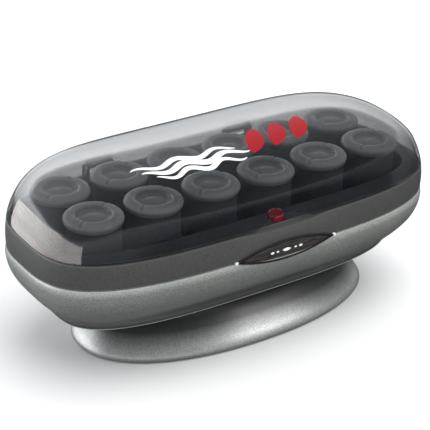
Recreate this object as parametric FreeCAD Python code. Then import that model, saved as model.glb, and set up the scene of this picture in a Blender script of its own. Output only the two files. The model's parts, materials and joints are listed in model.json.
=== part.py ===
import FreeCAD, Part
import math
import os

# Heated roller set: a tray of twelve heated posts with a roller on each, in an oval case on a plinth,
# under a hinged smoked lid. Millimetres, +Z up, front towards -Y, origin on the floor under the middle.

V = FreeCAD.Vector
OUT = "parts"

# Levels above the floor
PLINTH_FOOT_Z = 1.2
BOWL_FLOOR_Z = 35.0
PLATE_BOTTOM_Z = 51.0
TRAY_BOTTOM_Z = 58.0
TRAY_MIDDLE_Z = 78.0
BOWL_TOP_Z = 78.8
BAND_MIDDLE_Z = 88.0
SHELL_SEAM_Z = 79.6
RIM_Z = 98.0
LID_GAP = 0.8
LID_HEIGHT = 43.6
ROLLER_TOP_Z = 117.4

# Plan ovals as (half length, half width, squareness)
RIM_OVAL = (159.8, 72.0, 3.5)
SEAM_OVAL = (163.0, 75.2, 3.15)
FOOT_OVAL = (121.0, 63.5, 2.2)
TRAY_OVAL = (149.0, 56.0, 4.5)

WALL = 2.5
LID_WALL = 2.2
TRAY_WALL = 2.0
TRAY_FLOOR = 2.5
RIM_THICK = 4.0
FLANGE_INSET = 4.0
FLANGE_THICK = 1.6
TRAY_PLAY = 0.3
SEAM_INSET = 0.8
SEAM_GROOVE = 0.8
SEAM_LIP = 3.0
SEAM_LIP_WALL = 1.4

# The bowl's and the plinth's outer profiles as (height, inset from their oval)
BOWL_PROFILE = [(78.8, 0.9), (76.5, 0.2), (73.0, 0.0), (66.0, 1.2), (59.0, 4.1), (52.0, 9.2),
                (46.0, 15.0), (41.5, 19.8), (38.0, 22.3), (35.0, 23.0)]
PLINTH_PROFILE = [(1.2, 0.9), (3.4, 0.0), (7.0, 1.4), (14.0, 6.2), (22.0, 11.6), (29.0, 15.6), (35.0, 17.0)]
# The lid's skirt as (height above its edge, inset in length, inset in width, squareness)
SKIRT_PROFILE = [(0.0, 0.0, 0.0, 3.5), (9.0, 1.6, 0.6, 3.3), (18.0, 5.0, 1.6, 3.1), (27.0, 10.0, 3.4, 2.9),
                 (45.0, 24.0, 9.0, 2.7)]
ROOF_DROP_X = 13.7
ROOF_REACH_X = 144.0
ROOF_DROP_Y = 15.7
ROOF_REACH_Y = 65.0

# Rollers and posts
COLUMNS = 6
ROWS = 2
PITCH_X = 47.1
PITCH_Y = 47.2
GRID_Y = 2.5
ROLLER_LENGTH = 56.0
CAP_R = 21.0
CAP_HEIGHT = 7.0
CAP_DISH_R = 12.0
SLEEVE_R = 19.0
SLEEVE_INNER_R = 17.5
CORE_OUTER_R = 12.4
CORE_INNER_R = 11.2
WEB_R = 17.2
WEB_THICK = 2.0
POST_R = 10.5
POST_TOP_Z = 108.5
COLLAR_R = 14.0
LIP_HEIGHT = 3.0
CAP_SEAT = 6.0

# Heater
PLATE_THICK = 4.0
PLATE_LENGTH = 267.0
PLATE_WIDTH = 79.0
ELEMENT_R = 3.25
ELEMENT_HALF_SPAN = 16.0
ELEMENT_BEND_X = 108.0
ELEMENT_END_X = -122.0
PILLAR_XS = (-2 * PITCH_X, 0.0, 2 * PITCH_X)
PILLAR_TOP_Z = 44.5
SHIELD_OVAL = (132.0, 44.0, 3.15)
SHIELD_Z = 39.6
WIRE_HOLE = (-30.0, 0.0)
WIRE_HOLE_R = 6.0
WIRE_R = 1.0
WIRE_BEND = 3.0
SCREW_SHANK_R = 1.9
SCREW_HEAD_R = 3.5
SCREW_HEAD_H = 2.5
PLINTH_SCREW_AT = (76.0, 22.0)
FOOT_AT = (84.0, 30.0)
FOOT_R = 8.0

# Hinge
HINGE_Y = 72.6
HINGE_Z = 101.6
HINGE_R = 3.0
HINGE_PIN_R = 1.5
PIN_PLAY = 0.05
ARM_BACK = 1.2
HINGE_XS = (-62.0, 62.0)
ARM_HALF = 8.0
EAR_THICK = 3.6
EAR_GAP = 0.5
EAR_FOOT_Z = 90.0
NOTCH_HALF = 12.8
NOTCH_TOP_Z = 105.4
ARM_PAD_HEIGHT = 3.2
ARM_PAD_SPREAD = 2.0

# Front details
FRONT_X = 5.0
BUTTON_Y = -60.5
BUTTON_R = 6.2
BUTTON_SHOULDER_Z = 101.0
BUTTON_TOP_Z = 105.2
BUTTON_HOLE_R = 6.6
BADGE_HALF_LENGTH = 42.5
BADGE_HALF_HEIGHT = 7.5
BADGE_FRONT_Y = -75.6
BADGE_BACK_Y = -73.6
BEZEL_WIDTH = 1.8
REST_X = 104.0
REST_R = 0.8
THUMB_HALF_LENGTH = 24.0
SCOOP_DEPTH = 1.2
SCOOP_REACH = 3.6
SCOOP_TILT = 25.0
THUMB_HEIGHT = 6.6

# Cord inlet
GLAND_Z = 15.0
GLAND_BORE_R = 3.4


def oval_wire(a, b, n, z, cy=0.0, points=40):
    """A closed smooth superellipse of half length a and half width b at height z."""
    pts = []
    for i in range(points):
        t = 2 * math.pi * i / points
        c, s = math.cos(t), math.sin(t)
        r = (abs(c) ** n + abs(s) ** n) ** (-1.0 / n)
        pts.append(V(a * r * c, cy + b * r * s, z))
    curve = Part.BSplineCurve()
    curve.interpolate(Points=pts, PeriodicFlag=True)
    return Part.Wire([curve.toShape()])


def oval_y(oval, inset, x):
    """How far the inset oval reaches from its long axis at x."""
    a, b, n = oval
    return (b - inset) * (1 - (abs(x) / (a - inset)) ** n) ** (1 / n)


def oval_slab(oval, inset, z0, z1, cy=0.0):
    """A straight-sided oval block between two heights."""
    a, b, n = oval
    face = Part.Face(oval_wire(a - inset, b - inset, n, z0, cy))
    return face.extrude(V(0, 0, z1 - z0))


def loft(wires):
    return Part.makeLoft(wires, True, False)


def cylinder(r, z0, z1, x=0.0, y=0.0):
    return Part.makeCylinder(r, z1 - z0, V(x, y, z0))


def cylinder_x(r, x0, x1, y, z):
    return Part.makeCylinder(r, x1 - x0, V(x0, y, z), V(1, 0, 0))


def cylinder_y(r, y0, y1, x, z):
    return Part.makeCylinder(r, y1 - y0, V(x, y0, z), V(0, 1, 0))


def block(x0, x1, y0, y1, z0, z1):
    return Part.makeBox(x1 - x0, y1 - y0, z1 - z0, V(x0, y0, z0))


def revolved(outline, x=0.0, y=0.0, z=0.0):
    """A full turn about Z of a closed outline given as (radius, height) corners."""
    wire = Part.makePolygon([V(r, 0, h) for r, h in outline] + [V(outline[0][0], 0, outline[0][1])])
    solid = Part.Face(wire).revolve(V(0, 0, 0), V(0, 0, 1), 360)
    return solid.translated(V(x, y, z))


def fused(first, others):
    return first.fuse(others).removeSplitter()


def whole(shape):
    """The shape's single solid, where a boolean left it in a compound."""
    return shape.Solids[0] if len(shape.Solids) == 1 else shape


def grid_places():
    """(index, x, y) of each roller, front row first, left to right."""
    places = []
    for row in range(ROWS):
        for column in range(COLUMNS):
            x = (column - (COLUMNS - 1) / 2) * PITCH_X
            y = GRID_Y + (row - (ROWS - 1) / 2) * PITCH_Y
            places.append((row * COLUMNS + column + 1, x, y))
    return places


# ---------------------------------------------------------------- lid


def roof_block(drop):
    """Everything under the lid's arched roof, lowered by drop."""
    nx, ny = 17, 11
    span_x, span_y = 185.0, 90.0
    rows = []
    for i in range(nx):
        x = -span_x + 2 * span_x * i / (nx - 1)
        row = []
        for j in range(ny):
            y = -span_y + 2 * span_y * j / (ny - 1)
            fall = ROOF_DROP_X * (x / ROOF_REACH_X) ** 6 + ROOF_DROP_Y * (y / ROOF_REACH_Y) ** 2
            row.append(V(x, y, RIM_Z + LID_GAP + LID_HEIGHT - drop - fall))
        rows.append(row)
    surface = Part.BSplineSurface()
    surface.interpolate(rows)
    return surface.toShape().extrude(V(0, 0, -150.0))


def skirt_loft(inset, below):
    """The lid's side surface as a solid, inset all round and reaching below its edge."""
    a, b, _ = RIM_OVAL
    wires = []
    if below:
        wires.append(oval_wire(a - inset, b - inset, SKIRT_PROFILE[0][3], RIM_Z + LID_GAP - below))
    for height, in_x, in_y, n in SKIRT_PROFILE:
        wires.append(oval_wire(a - inset - in_x, b - inset - in_y, n, RIM_Z + LID_GAP + height))
    return loft(wires)


def lid_outer():
    return skirt_loft(0.0, 0.0).common(roof_block(0.0))


def thumb_notch():
    """A shallow arch cut up into the middle of the lid's front edge."""
    z0 = RIM_Z + LID_GAP
    left, right = V(FRONT_X - THUMB_HALF_LENGTH, 0, z0), V(FRONT_X + THUMB_HALF_LENGTH, 0, z0)
    top = V(FRONT_X, 0, z0 + THUMB_HEIGHT)
    arch = Part.Arc(left, top, right).toShape()
    drop = V(0, 0, -3)
    sides = [Part.makeLine(right, right + drop), Part.makeLine(right + drop, left + drop),
             Part.makeLine(left + drop, left)]
    face = Part.Face(Part.Wire([arch] + sides))
    return face.extrude(V(0, 20, 0)).translated(V(0, -80, 0))


def lid():
    inner = skirt_loft(LID_WALL, 4.0).common(roof_block(LID_WALL))
    shell = lid_outer().cut(inner).cut(thumb_notch())
    for x in HINGE_XS:
        x0, x1 = x - NOTCH_HALF, x + NOTCH_HALF
        shell = shell.cut(block(x0, x1, HINGE_Y - 12, HINGE_Y + 8, RIM_Z - 1, NOTCH_TOP_Z))
    return whole(shell)


def lid_hinge_arms():
    """Two moulded arms fixed to the lid above its rear notches, each with a barrel for a pin."""
    arms = []
    outer = lid_outer()
    for x in HINGE_XS:
        barrel = cylinder_x(HINGE_R, x - ARM_HALF, x + ARM_HALF, HINGE_Y, HINGE_Z)
        front_y, back_y = HINGE_Y - HINGE_R, HINGE_Y + ARM_BACK
        web = block(x - ARM_HALF, x + ARM_HALF, front_y, back_y, HINGE_Z, NOTCH_TOP_Z)
        reach = ARM_HALF + ARM_PAD_SPREAD
        pad_top = NOTCH_TOP_Z + ARM_PAD_HEIGHT
        pad = block(x - reach, x + reach, front_y - 1, back_y, NOTCH_TOP_Z, pad_top)
        arm = fused(barrel, [web, pad.cut(outer)])
        arms.append(whole(arm.cut(cylinder_x(HINGE_PIN_R + PIN_PLAY, x - reach, x + reach, HINGE_Y, HINGE_Z))))
    return Part.makeCompound(arms)


# ---------------------------------------------------------------- case


def hinge_ears(x):
    ears = []
    for side in (-1, 1):
        x0 = x + side * (ARM_HALF + EAR_GAP)
        x1 = x0 + side * EAR_THICK
        x0, x1 = min(x0, x1), max(x0, x1)
        eye = cylinder_x(HINGE_R, x0, x1, HINGE_Y, HINGE_Z)
        leg = block(x0, x1, HINGE_Y - HINGE_R, HINGE_Y + HINGE_R, EAR_FOOT_Z, HINGE_Z)
        ears.append(fused(eye, [leg]))
    return ears


def rim_scoop():
    """The shallow dip in the rim's front edge, under the lid's thumb arch."""
    half, dip = THUMB_HALF_LENGTH + 2.0, SCOOP_DEPTH
    radius = (half ** 2 + dip ** 2) / (2 * dip)
    drum = cylinder_y(radius, -80.0, -RIM_OVAL[1] + SCOOP_REACH, FRONT_X, RIM_Z + radius - dip)
    drum.rotate(V(FRONT_X, -RIM_OVAL[1] + SCOOP_REACH, RIM_Z), V(1, 0, 0), SCOOP_TILT)
    return drum


def lid_rests():
    """Four pips on the rim that the lid's edge comes down on."""
    pips = []
    for x in (-REST_X, REST_X):
        y = oval_y(RIM_OVAL, LID_WALL / 2, x)
        pips += [cylinder(REST_R, RIM_Z - 1, RIM_Z + LID_GAP, x, side * y) for side in (-1, 1)]
    return pips


def badge_prism(inset, y0, y1):
    """The badge's pointed oval, from two arcs, extruded through the front of the case."""
    half, rise = BADGE_HALF_LENGTH - 3.2 * inset, BADGE_HALF_HEIGHT - inset
    left, right = V(FRONT_X - half, y0, SHELL_SEAM_Z), V(FRONT_X + half, y0, SHELL_SEAM_Z)
    top = Part.Arc(left, V(FRONT_X, y0, SHELL_SEAM_Z + rise), right).toShape()
    bottom = Part.Arc(right, V(FRONT_X, y0, SHELL_SEAM_Z - rise), left).toShape()
    return Part.Face(Part.Wire([top, bottom])).extrude(V(0, y1 - y0, 0))


def badge_recess():
    """The pocket for the badge, cut through the band and the bowl alike."""
    return badge_prism(0.0, BADGE_FRONT_Y - 4, BADGE_BACK_Y)


def upper_casing():
    a, b, n = SEAM_OVAL
    ar, br, nr = RIM_OVAL
    mid = 0.4
    step = SEAM_INSET + WALL
    outer = loft([oval_wire(a - SEAM_INSET, b - SEAM_INSET, n, SHELL_SEAM_Z),
                  oval_wire(a + (ar - a) * mid, b + (br - b) * mid, n + (nr - n) * mid, BAND_MIDDLE_Z),
                  oval_wire(ar, br, nr, RIM_Z)])
    inner = loft([oval_wire(a - step, b - step, n, SHELL_SEAM_Z - 4),
                  oval_wire(a - step, b - step, n, SHELL_SEAM_Z + SEAM_LIP + 1),
                  oval_wire(ar - WALL - 1, br - WALL - 1, nr, RIM_Z - RIM_THICK)])
    shell = outer.cut(inner)
    tray_opening = oval_slab(TRAY_OVAL, -TRAY_PLAY, RIM_Z - 10, RIM_Z + 2, GRID_Y)
    flange_seat = oval_slab(RIM_OVAL, FLANGE_INSET, RIM_Z - FLANGE_THICK, RIM_Z + 2)
    shell = shell.cut([tray_opening, flange_seat])
    ears = [e for x in HINGE_XS for e in hinge_ears(x)]
    shell = fused(shell, ears + lid_rests())
    for x in HINGE_XS:
        slot = ARM_HALF + EAR_GAP
        half_pin = slot + EAR_THICK
        shell = shell.cut(cylinder_x(HINGE_PIN_R, x - half_pin - 1, x + half_pin + 1, HINGE_Y, HINGE_Z))
        shell = shell.cut(block(x - slot, x + slot, HINGE_Y - 4, HINGE_Y + 8, RIM_Z - 1, HINGE_Z + 4))
    shell = shell.cut([oval_slab(SEAM_OVAL, 10.0, 60.0, RIM_Z - RIM_THICK - 0.2), badge_recess()])
    button_hole = cylinder(BUTTON_HOLE_R + 1, RIM_Z - 12, RIM_Z + 1, FRONT_X, BUTTON_Y)
    return whole(shell.cut([button_hole, rim_scoop()]))


def bowl_loft(inset, z_low):
    a, b, n = SEAM_OVAL
    stations = [(z, i) for z, i in BOWL_PROFILE if z >= z_low]
    wires = [oval_wire(a - i - inset, b - i - inset, n, z) for z, i in stations]
    return loft(wires)


def lower_casing():
    a, b, n = SEAM_OVAL
    outer = bowl_loft(0.0, BOWL_FLOOR_Z)
    inner = bowl_loft(WALL, BOWL_FLOOR_Z + 3.0)
    shell = outer.cut([inner, oval_slab(SEAM_OVAL, SEAM_INSET + WALL, BOWL_TOP_Z - 1, BOWL_TOP_Z + 1)])
    step = SEAM_INSET + WALL + 0.4
    lip_top = SHELL_SEAM_Z + SEAM_LIP
    lip = oval_slab(SEAM_OVAL, step, BOWL_TOP_Z - 3, lip_top)
    lip = lip.cut(oval_slab(SEAM_OVAL, step + SEAM_LIP_WALL, BOWL_TOP_Z - 4, lip_top + 1))
    ledge = oval_slab(SEAM_OVAL, SEAM_INSET + SEAM_GROOVE, BOWL_TOP_Z - 1.2, SHELL_SEAM_Z)
    ledge = ledge.cut(oval_slab(SEAM_OVAL, step + 0.5, BOWL_TOP_Z - 2, SHELL_SEAM_Z + 1))
    bosses = [cylinder(5.8, BOWL_FLOOR_Z + 2, PILLAR_TOP_Z, x, GRID_Y) for x in PILLAR_XS]
    bosses += [cylinder(4.5, BOWL_FLOOR_Z + 2, SHIELD_Z, x, y) for x, y in plinth_screw_places()]
    shell = fused(shell, [lip, ledge] + bosses)
    holes = [cylinder(SCREW_SHANK_R + 0.2, 34, 50, x, GRID_Y) for x in PILLAR_XS]
    holes += [cylinder(SCREW_HEAD_R + 0.7, 34, 41, x, GRID_Y) for x in PILLAR_XS]
    holes += [cylinder(SCREW_SHANK_R, 34, 39.2, x, y) for x, y in plinth_screw_places()]
    holes += [cylinder(WIRE_HOLE_R, 34, 40, *WIRE_HOLE), badge_recess()]
    return whole(shell.cut(holes))


def tray():
    a, b, n = TRAY_OVAL
    outer = loft([oval_wire(a - 1.5, b - 1.5, n, TRAY_BOTTOM_Z, GRID_Y),
                  oval_wire(a - 0.7, b - 0.7, n, TRAY_MIDDLE_Z, GRID_Y), oval_wire(a, b, n, RIM_Z, GRID_Y)])
    t = TRAY_WALL
    inner = loft([oval_wire(a - 1.5 - t, b - 1.5 - t, n, TRAY_BOTTOM_Z + TRAY_FLOOR, GRID_Y),
                  oval_wire(a - 0.7 - t, b - 0.7 - t, n, TRAY_MIDDLE_Z, GRID_Y),
                  oval_wire(a - t, b - t, n, RIM_Z + 1, GRID_Y)])
    flange = oval_slab(RIM_OVAL, FLANGE_INSET + 0.2, RIM_Z - FLANGE_THICK, RIM_Z)
    bosses = [cylinder(5.0, PLATE_BOTTOM_Z + PLATE_THICK, TRAY_BOTTOM_Z + 1, x, GRID_Y) for x in PILLAR_XS]
    body = fused(outer, [flange] + bosses).cut(inner)
    collar_top = ROLLER_TOP_Z - ROLLER_LENGTH
    collars = [cylinder(COLLAR_R, TRAY_BOTTOM_Z + 1, collar_top, x, y) for _, x, y in grid_places()]
    body = fused(body, collars)
    holes = [cylinder(POST_R + 0.7, 50, 64, x, y) for _, x, y in grid_places()]
    holes += [cylinder(SCREW_SHANK_R, 50, 59.2, x, GRID_Y) for x in PILLAR_XS]
    holes.append(cylinder(BUTTON_HOLE_R, RIM_Z - 5, RIM_Z + 1, FRONT_X, BUTTON_Y))
    return whole(body.cut(holes))


def plinth_loft(inset, low, high):
    a, b, n = FOOT_OVAL
    wires = []
    for z, i in PLINTH_PROFILE:
        if low <= z <= high:
            wires.append(oval_wire(a - i - inset, b - i - inset, n, z))
    return wires


def plinth_screw_places():
    x, y = PLINTH_SCREW_AT
    return [(sx * x, sy * y) for sx in (-1, 1) for sy in (-1, 1)]


def plinth():
    a, b, n = FOOT_OVAL
    outer = loft(plinth_loft(0.0, 0, 40))
    inner_wires = [oval_wire(a - 0.9 - WALL, b - 0.9 - WALL, n, 0.0)] + plinth_loft(WALL, 0, 30)
    inner_wires.append(oval_wire(a - 16.6 - WALL, b - 16.6 - WALL, n, 32.0))
    shell = outer.cut(loft(inner_wires))
    holes = [cylinder(SCREW_SHANK_R + 0.2, 30, 36, x, y) for x, y in plinth_screw_places()]
    holes += [cylinder(WIRE_HOLE_R, 30, 36, *WIRE_HOLE), cylinder_y(5.2, 40, 75, 0, GLAND_Z)]
    return whole(shell.cut(holes))


def plinth_cover():
    plate = oval_slab(FOOT_OVAL, 0.9 + WALL + 0.3, PLINTH_FOOT_Z, PLINTH_FOOT_Z + 2.2)
    slots = []
    for i in range(-3, 4):
        slots.append(block(i * 12 - 2, i * 12 + 2, -14, 14, 0, 5))
    return whole(plate.cut(slots))


def rubber_feet():
    x, y = FOOT_AT
    return Part.makeCompound([cylinder(FOOT_R, 0.0, PLINTH_FOOT_Z, sx * x, sy * y)
                              for sx in (-1, 1) for sy in (-1, 1)])


def badge_bezel():
    ring = badge_prism(0.0, BADGE_FRONT_Y, BADGE_BACK_Y)
    return whole(ring.cut(badge_prism(BEZEL_WIDTH, BADGE_FRONT_Y - 1, BADGE_BACK_Y + 1)))


def badge_plate():
    return badge_prism(BEZEL_WIDTH, BADGE_FRONT_Y + 0.4, BADGE_BACK_Y)


# ---------------------------------------------------------------- heater


def heat_plate():
    r = 14.0
    x, y = PLATE_LENGTH / 2, PLATE_WIDTH / 2
    plate = block(-x, x, GRID_Y - y, GRID_Y + y, PLATE_BOTTOM_Z, PLATE_BOTTOM_Z + PLATE_THICK)
    corners = [e for e in plate.Edges if abs(e.Vertexes[0].Z - e.Vertexes[1].Z) > 1]
    plate = plate.makeFillet(r, corners)
    return plate.cut([cylinder(SCREW_SHANK_R + 0.2, 50, 60, px, GRID_Y) for px in PILLAR_XS])


def heating_posts():
    """Twelve aluminium posts standing on the plate, each with a rounded nose."""
    posts = []
    base = PLATE_BOTTOM_Z + PLATE_THICK
    for _, x, y in grid_places():
        post = cylinder(POST_R, base, POST_TOP_Z, x, y)
        rim = [e for e in post.Edges if e.BoundBox.ZMin > POST_TOP_Z - 1 and e.BoundBox.XLength > 2]
        posts.append(post.makeFillet(4.0, rim))
    return Part.makeCompound(posts)


def heating_element():
    """A sheathed rod bent into a hairpin under the plate, with a thin terminal at each end."""
    z = PLATE_BOTTOM_Z - ELEMENT_R
    # The half turn at the far end, then the two straight runs
    bend = Part.makeTorus(ELEMENT_HALF_SPAN, ELEMENT_R, V(0, 0, 0), V(0, 0, 1), 0, 360, 180)
    bend.rotate(V(0, 0, 0), V(0, 0, 1), -90)
    bend = bend.translated(V(ELEMENT_BEND_X, GRID_Y, z))
    runs = []
    for side in (-1, 1):
        y = GRID_Y + side * ELEMENT_HALF_SPAN
        runs.append(cylinder_x(ELEMENT_R, ELEMENT_END_X, ELEMENT_BEND_X, y, z))
        runs.append(cylinder_x(1.2, ELEMENT_END_X - 7, ELEMENT_END_X + 1, y, z))
    return whole(fused(bend, runs))


def heat_shield():
    """A thin sheet under the element that rests on the plinth screws' bosses."""
    sheet = oval_slab(SHIELD_OVAL, 0.0, SHIELD_Z, SHIELD_Z + 0.6)
    holes = [cylinder(6.2, 39, 41, x, GRID_Y) for x in PILLAR_XS]
    holes.append(cylinder(WIRE_HOLE_R, 39, 41, *WIRE_HOLE))
    return whole(sheet.cut(holes))


def thermostat():
    x = PITCH_X
    can = cylinder(8.0, 43.4, 49.4, x, GRID_Y)
    flange = block(x - 11.5, x + 11.5, GRID_Y - 4, GRID_Y + 4, 49.4, PLATE_BOTTOM_Z)
    tabs = [block(x + s * 4 - 1.5, x + s * 4 + 1.5, GRID_Y - 0.4, GRID_Y + 0.4, 40.8, 43.6) for s in (-1, 1)]
    return whole(fused(can, [flange] + tabs))


def thermal_fuse():
    x = -PITCH_X
    body = cylinder_x(2.2, x - 6, x + 6, GRID_Y, PLATE_BOTTOM_Z - 2.6)
    leads = [cylinder_x(0.5, x - 14, x + 14, GRID_Y, PLATE_BOTTOM_Z - 2.6)]
    strap = block(x - 2, x + 2, GRID_Y - 5, GRID_Y + 5, PLATE_BOTTOM_Z - 0.6, PLATE_BOTTOM_Z)
    return whole(fused(body, leads + [strap]))


def plate_spacers():
    tubes = []
    for x in PILLAR_XS:
        tube = cylinder(5.0, PILLAR_TOP_Z, PLATE_BOTTOM_Z, x, GRID_Y)
        tubes.append(tube.cut(cylinder(SCREW_SHANK_R + 0.2, 40, 60, x, GRID_Y)))
    return Part.makeCompound(tubes)


def screw(x, y, head_z, tip_z):
    """A pan-head screw pointing up, its head just below head_z."""
    head = cylinder(SCREW_HEAD_R, head_z - SCREW_HEAD_H, head_z, x, y)
    shank = cylinder(SCREW_SHANK_R, head_z, tip_z, x, y)
    z = head_z - SCREW_HEAD_H - 1
    slots = [block(x - 2.2, x + 2.2, y - 0.4, y + 0.4, z, z + 2.2),
             block(x - 0.4, x + 0.4, y - 2.2, y + 2.2, z, z + 2.2)]
    return whole(fused(head, [shank]).cut(slots))


def casing_screws():
    screws = [screw(x, GRID_Y, 41.0, 59.2) for x in PILLAR_XS]
    screws += [screw(x, y, 32.0, 39.2) for x, y in plinth_screw_places()]
    return Part.makeCompound(screws)


def terminal_block():
    z0 = PLINTH_FOOT_Z + 2.2
    body = block(-17.0, 17.0, 20.0, 34.0, z0, z0 + 11.0)
    for x in (-11.0, 0.0, 11.0):
        body = body.cut([cylinder_y(2.0, 19, 35, x, z0 + 4.0), cylinder(1.6, z0 + 4.0, z0 + 12, x, 27.0)])
    return whole(body)


def wire_along(points):
    """A round wire along straight runs, with the corners between them rounded."""
    pts = [V(*p) for p in points]
    edges, start = [], pts[0]
    for i in range(1, len(pts) - 1):
        before = (pts[i - 1] - pts[i]).normalize()
        after = (pts[i + 1] - pts[i]).normalize()
        half = before.getAngle(after) / 2
        reach = WIRE_BEND / math.tan(half)
        middle = (before + after).normalize()
        centre = pts[i] + middle * (WIRE_BEND / math.sin(half))
        enter, leave = pts[i] + before * reach, pts[i] + after * reach
        edges.append(Part.makeLine(start, enter))
        edges.append(Part.Arc(enter, centre - middle * WIRE_BEND, leave).toShape())
        start = leave
    edges.append(Part.makeLine(start, pts[-1]))
    profile = Part.Wire([Part.makeCircle(WIRE_R, pts[0], pts[1] - pts[0])])
    return Part.Wire(edges).makePipeShell([profile], True, False)


def internal_wiring():
    """The leads of the circuit: supply, switch, thermostat, fuse, element and earth."""
    low = PLINTH_FOOT_Z + 2.2 + 4.0
    rod_z = PLATE_BOTTOM_Z - ELEMENT_R
    fuse_z = PLATE_BOTTOM_Z - 2.6
    tab_z = 42.2
    far_y = GRID_Y + ELEMENT_HALF_SPAN
    near_y = GRID_Y - ELEMENT_HALF_SPAN
    end_x = ELEMENT_END_X - 7
    live = [(11, 20, low), (11, -6, low), (-31, -3, low + 3), (-31, -3, 43), (-31, -46, 43),
            (-14, -60, 56), (FRONT_X - 4, -62, 60), (FRONT_X - 4, -62, 68)]
    switched = [(FRONT_X + 4, -62, 68), (FRONT_X + 4, -62, 59), (14, -50, 44.5), (36, -20, tab_z),
                (43.1, -6, tab_z), (43.1, 2.1, tab_z)]
    to_fuse = [(51.1, 2.9, tab_z), (51.1, 12, tab_z), (26, 12.5, 43), (-14, 9, 46), (-24, 2.5, fuse_z),
               (-33.1, 2.5, fuse_z)]
    to_element = [(-61.1, 2.5, fuse_z), (-72, 2.5, fuse_z), (-84, -6, 44.5), (-128, -6, 43), (-137, -9, 44),
                  (-137, near_y, rod_z), (end_x, near_y, rod_z)]
    neutral = [(-11, 20, low), (-11, 8, low), (-32, 2, low + 6), (-32, 2, 42.8), (-38, 11.5, 42.8),
               (-128, 11.5, 42.8), (-137, 14, 44), (-137, far_y, rod_z), (end_x, far_y, rod_z)]
    earth = [(0, 20, low), (0, 6, low), (-27.5, 0, low + 8), (-27.5, 0, 43.5), (-20, -5.5, 44),
             (-12, -5.5, 45.5), (-12, -5.5, PLATE_BOTTOM_Z)]
    return Part.makeCompound([wire_along(p) for p in (live, switched, to_fuse, to_element, neutral, earth)])


def switch_body():
    """The push switch under the front rim, with its two terminals and the lugs that fix it to the rim."""
    body = block(-8.0, 8.0, -66.0, -56.0, 74.0, 90.0)
    tabs = [block(s * 4 - 1.5, s * 4 + 1.5, -62.4, -61.6, 68.0, 74.2) for s in (-1, 1)]
    lugs = [block(min(s * 8.0, s * 10.5), max(s * 8.0, s * 10.5), -64.0, -58.0, 84.0, 94.0) for s in (-1, 1)]
    plunger = cylinder(4.0, 90.0, 91.5, 0, BUTTON_Y)
    return whole(fused(body, tabs + lugs + [plunger])).translated(V(FRONT_X, 0, 0))


def power_button():
    """A short round plunger with a domed lens for a top."""
    rise = BUTTON_TOP_Z - BUTTON_SHOULDER_Z
    dome_r = (BUTTON_R ** 2 + rise ** 2) / (2 * rise)
    dome = Part.makeSphere(dome_r, V(FRONT_X, BUTTON_Y, BUTTON_TOP_Z - dome_r))
    return whole(cylinder(BUTTON_R, 94.0, BUTTON_TOP_Z + 1, FRONT_X, BUTTON_Y).common(dome))


def hinge_pins():
    half = ARM_HALF + EAR_GAP + EAR_THICK
    return Part.makeCompound([cylinder_x(HINGE_PIN_R, x - half, x + half, HINGE_Y, HINGE_Z) for x in HINGE_XS])


def cord_gland(wall):
    """A moulded bush through the plinth's rear wall, with a collar on each side of the wall."""
    body = cylinder_y(5.2, 47.0, 66.0, 0, GLAND_Z)
    collars = [cylinder_y(7.6, 56.0, 62.0, 0, GLAND_Z), cylinder_y(7.0, 47.0, 50.5, 0, GLAND_Z)]
    solid = fused(body, collars).cut(wall)
    solid = max(solid.Solids, key=lambda s: s.Volume)
    return whole(solid.cut(cylinder_y(GLAND_BORE_R, 40, 70, 0, GLAND_Z)))


# ---------------------------------------------------------------- rollers


def roller_core(x, y):
    """A spool: a bore that slides over the post, a bottom lip and a top web that carry the sleeve."""
    h = ROLLER_LENGTH - CAP_SEAT
    outline = [(CORE_INNER_R, 0.0), (19.6, 0.0), (19.6, LIP_HEIGHT - 0.6), (19.0, LIP_HEIGHT),
               (CORE_OUTER_R, LIP_HEIGHT), (CORE_OUTER_R, h - WEB_THICK), (WEB_R, h - WEB_THICK), (WEB_R, h),
               (CORE_INNER_R, h)]
    return revolved(outline, x, y, ROLLER_TOP_Z - ROLLER_LENGTH)


def roller_sleeve(x, y):
    z0 = ROLLER_TOP_Z - ROLLER_LENGTH
    top = ROLLER_LENGTH - CAP_HEIGHT
    outline = [(SLEEVE_INNER_R, LIP_HEIGHT), (SLEEVE_R, LIP_HEIGHT), (SLEEVE_R, top), (SLEEVE_INNER_R, top)]
    return revolved(outline, x, y, z0)


def roller_cap(x, y):
    """The cool-touch end: a flanged disc with a finger dish and two grip notches."""
    z0 = ROLLER_TOP_Z - CAP_HEIGHT
    outline = [(0.0, 2.2), (8.0, 1.4), (SLEEVE_INNER_R - 0.2, 1.0), (SLEEVE_INNER_R - 0.2, 0.0), (20.2, 0.0),
               (CAP_R, 1.0), (CAP_R, 5.6), (19.6, CAP_HEIGHT), (13.4, CAP_HEIGHT), (CAP_DISH_R, 6.4),
               (10.4, 4.6), (6.0, 3.8), (0.0, 3.6)]
    cap = revolved(outline, 0, 0, 0)
    notch = block(12.8, 22.0, -0.7, 0.7, 6.3, 8.0)
    turn = [notch.copy(), notch.copy()]
    turn[0].rotate(V(0, 0, 0), V(0, 0, 1), 30)
    turn[1].rotate(V(0, 0, 0), V(0, 0, 1), 210)
    return whole(cap.cut(turn)).translated(V(x, y, z0))


# ---------------------------------------------------------------- output


def save(name, shape):
    for solid in shape.Solids:
        if not solid.isValid() or solid.Volume <= 0:
            print("CHECK", name, "valid", solid.isValid(), "volume", round(solid.Volume, 1))
    shape.exportStep(os.path.join(OUT, name + ".step"))
    print(name, len(shape.Solids), "solids", round(shape.Volume / 1000, 2), "cm3")


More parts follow.
